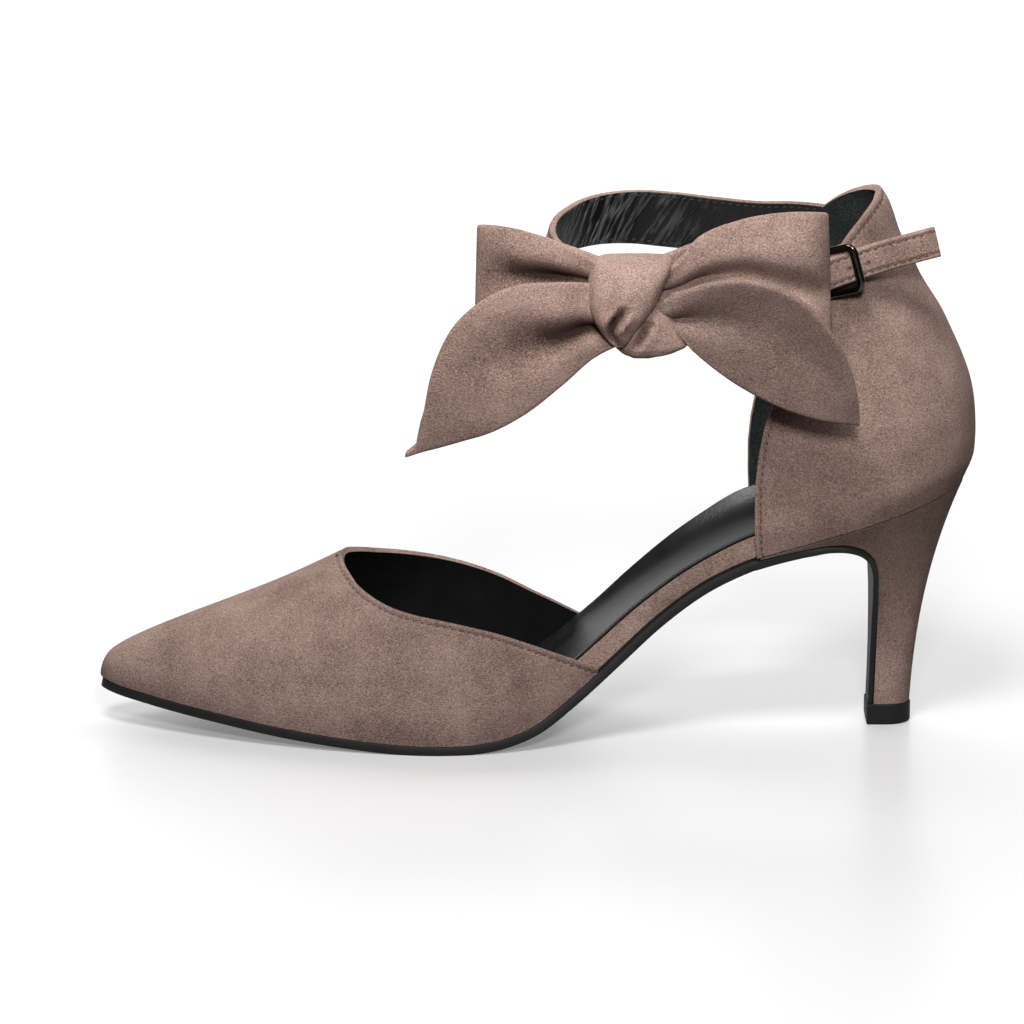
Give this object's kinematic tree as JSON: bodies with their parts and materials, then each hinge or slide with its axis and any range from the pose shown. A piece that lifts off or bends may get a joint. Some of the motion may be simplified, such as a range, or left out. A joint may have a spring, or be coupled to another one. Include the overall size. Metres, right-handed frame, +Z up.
{
  "type": "stiletto heel shoe",
  "caption": "Left pointed-toe court shoe in taupe suede, open at the sides, with a slim covered heel, an ankle strap, a tied ribbon bow and a slide buckle.",
  "frame": {"origin": "on the floor under the middle of the shoe's bounding box", "axes": "+X from toe to heel, +Y to the medial side, +Z up; the lateral side with the bow faces -Y"},
  "size_m": [0.2366, 0.092, 0.1495],
  "materials": {
    "suede": "napped taupe suede",
    "lining": "smooth black lining leather",
    "sole": "satin black sole leather",
    "rubber": "matte black rubber",
    "gunmetal": "glossy dark gunmetal plate"
  },
  "bodies": {
    "root": {"outsole": "sole", "heel": "suede", "top_piece": "rubber", "insole_board": "suede", "insole_sock": "lining", "vamp": "suede", "counter": "suede", "ankle_strap": "suede", "buckle": "gunmetal", "bow_knot": "suede", "bow_loop_toe": "suede", "bow_loop_heel": "suede", "bow_tail_toe": "suede", "bow_tail_heel": "suede"}
  },
  "joints": []
}
